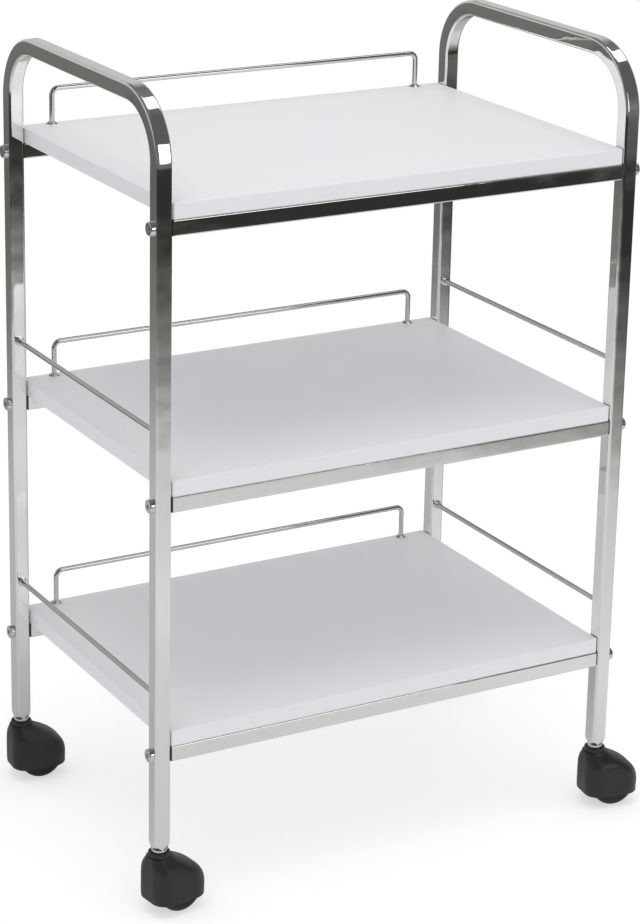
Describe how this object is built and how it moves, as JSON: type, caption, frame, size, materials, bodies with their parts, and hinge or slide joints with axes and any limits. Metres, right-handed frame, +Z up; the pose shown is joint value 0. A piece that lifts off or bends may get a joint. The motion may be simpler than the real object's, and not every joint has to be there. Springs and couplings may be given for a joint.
{
  "type": "trolley",
  "caption": "Three-tier rolling trolley: bent chromed tube side frames with handles, white boards on cross rails, wire guards and hooded swivel casters.",
  "frame": {"origin": "on the floor, below the middle of the whole trolley with its casters trailing as they stand; the middle of the tube frame is 16.1 mm to the left of it", "axes": "+X along the rails to the right, +Y towards the rear guard wires, +Z up; the front is -Y"},
  "size_m": [0.5511, 0.3666, 0.78],
  "materials": {
    "chromed_tube": "bright plated, mirror-like",
    "chromed_wire": "bright plated round wire",
    "chromed_fittings": "bright plated small parts",
    "white_laminate": "white satin laminate on a pressed board",
    "black_plug_plastic": "black moulded, matte",
    "black_hood_plastic": "black moulded, fine satin",
    "black_wheel_plastic": "black moulded, satin tread",
    "bare_steel": "plain steel, hidden"
  },
  "bodies": {
    "cart_frame": {"bottom_board_screws": "bare_steel", "bottom_front_rail": "chromed_tube", "bottom_left_guard_rod": "chromed_wire", "bottom_rail_end_plugs": "black_plug_plastic", "bottom_rear_guard_wire": "chromed_wire", "bottom_rear_rail": "chromed_tube", "bottom_right_guard_rod": "chromed_wire", "bottom_shelf_board": "white_laminate", "caster_stem_sockets": "chromed_fittings", "guard_rod_ferrules": "chromed_fittings", "guard_wire_rosettes": "chromed_fittings", "left_frame_bolts": "chromed_fittings", "left_side_frame": "chromed_tube", "middle_board_screws": "bare_steel", "middle_front_rail": "chromed_tube", "middle_left_guard_rod": "chromed_wire", "middle_rail_end_plugs": "black_plug_plastic", "middle_rear_guard_wire": "chromed_wire", "middle_rear_rail": "chromed_tube", "middle_right_guard_rod": "chromed_wire", "middle_shelf_board": "white_laminate", "rail_nuts": "bare_steel", "right_frame_bolts": "chromed_fittings", "right_side_frame": "chromed_tube", "top_board_screws": "bare_steel", "top_front_rail": "chromed_tube", "top_rail_end_plugs": "black_plug_plastic", "top_rear_guard_wire": "chromed_wire", "top_rear_rail": "chromed_tube", "top_shelf_board": "white_laminate"},
    "front_left_swivel": {"front_left_caster_hood": "black_hood_plastic", "front_left_caster_stem": "bare_steel", "front_left_stem_ring": "bare_steel", "front_left_caster_axle": "bare_steel"},
    "front_left_wheel_front": {"front_left_caster_wheel_front": "black_wheel_plastic"},
    "front_left_wheel_rear": {"front_left_caster_wheel_rear": "black_wheel_plastic"},
    "front_right_swivel": {"front_right_caster_hood": "black_hood_plastic", "front_right_caster_stem": "bare_steel", "front_right_stem_ring": "bare_steel", "front_right_caster_axle": "bare_steel"},
    "front_right_wheel_front": {"front_right_caster_wheel_front": "black_wheel_plastic"},
    "front_right_wheel_rear": {"front_right_caster_wheel_rear": "black_wheel_plastic"},
    "rear_left_swivel": {"rear_left_caster_hood": "black_hood_plastic", "rear_left_caster_stem": "bare_steel", "rear_left_stem_ring": "bare_steel", "rear_left_caster_axle": "bare_steel"},
    "rear_left_wheel_front": {"rear_left_caster_wheel_front": "black_wheel_plastic"},
    "rear_left_wheel_rear": {"rear_left_caster_wheel_rear": "black_wheel_plastic"},
    "rear_right_swivel": {"rear_right_caster_hood": "black_hood_plastic", "rear_right_caster_stem": "bare_steel", "rear_right_stem_ring": "bare_steel", "rear_right_caster_axle": "bare_steel"},
    "rear_right_wheel_front": {"rear_right_caster_wheel_front": "black_wheel_plastic"},
    "rear_right_wheel_rear": {"rear_right_caster_wheel_rear": "black_wheel_plastic"}
  },
  "joints": [
    {"name": "front_left_swivel_turn", "type": "hinge", "parent": "cart_frame", "child": "front_left_swivel", "pos_m": [-0.2621, -0.159, 0.0612], "axis": [0, 0, 1], "continuous": true},
    {"name": "front_left_wheel_front_roll", "type": "hinge", "parent": "front_left_swivel", "child": "front_left_wheel_front", "pos_m": [-0.24477, -0.15656, 0.0225], "axis": [-0.1392, 0.9903, 0], "continuous": true},
    {"name": "front_left_wheel_rear_roll", "type": "hinge", "parent": "front_left_swivel", "child": "front_left_wheel_rear", "pos_m": [-0.24477, -0.15656, 0.0225], "axis": [-0.1392, 0.9903, 0], "continuous": true},
    {"name": "front_right_swivel_turn", "type": "hinge", "parent": "cart_frame", "child": "front_right_swivel", "pos_m": [0.2299, -0.159, 0.0612], "axis": [0, 0, 1], "continuous": true},
    {"name": "front_right_wheel_front_roll", "type": "hinge", "parent": "front_right_swivel", "child": "front_right_wheel_front", "pos_m": [0.24718, -0.16174, 0.0225], "axis": [0.1564, 0.9877, 0], "continuous": true},
    {"name": "front_right_wheel_rear_roll", "type": "hinge", "parent": "front_right_swivel", "child": "front_right_wheel_rear", "pos_m": [0.24718, -0.16174, 0.0225], "axis": [0.1564, 0.9877, 0], "continuous": true},
    {"name": "rear_left_swivel_turn", "type": "hinge", "parent": "cart_frame", "child": "rear_left_swivel", "pos_m": [-0.2621, 0.159, 0.0612], "axis": [0, 0, 1], "continuous": true},
    {"name": "rear_left_wheel_front_roll", "type": "hinge", "parent": "rear_left_swivel", "child": "rear_left_wheel_front", "pos_m": [-0.24464, 0.15778, 0.0225], "axis": [0.0698, 0.9976, 0], "continuous": true},
    {"name": "rear_left_wheel_rear_roll", "type": "hinge", "parent": "rear_left_swivel", "child": "rear_left_wheel_rear", "pos_m": [-0.24464, 0.15778, 0.0225], "axis": [0.0698, 0.9976, 0], "continuous": true},
    {"name": "rear_right_swivel_turn", "type": "hinge", "parent": "cart_frame", "child": "rear_right_swivel", "pos_m": [0.2299, 0.159, 0.0612], "axis": [0, 0, 1], "continuous": true},
    {"name": "rear_right_wheel_front_roll", "type": "hinge", "parent": "rear_right_swivel", "child": "rear_right_wheel_front", "pos_m": [0.2474, 0.159, 0.0225], "axis": [0, 1, 0], "continuous": true},
    {"name": "rear_right_wheel_rear_roll", "type": "hinge", "parent": "rear_right_swivel", "child": "rear_right_wheel_rear", "pos_m": [0.2474, 0.159, 0.0225], "axis": [0, 1, 0], "continuous": true}
  ]
}
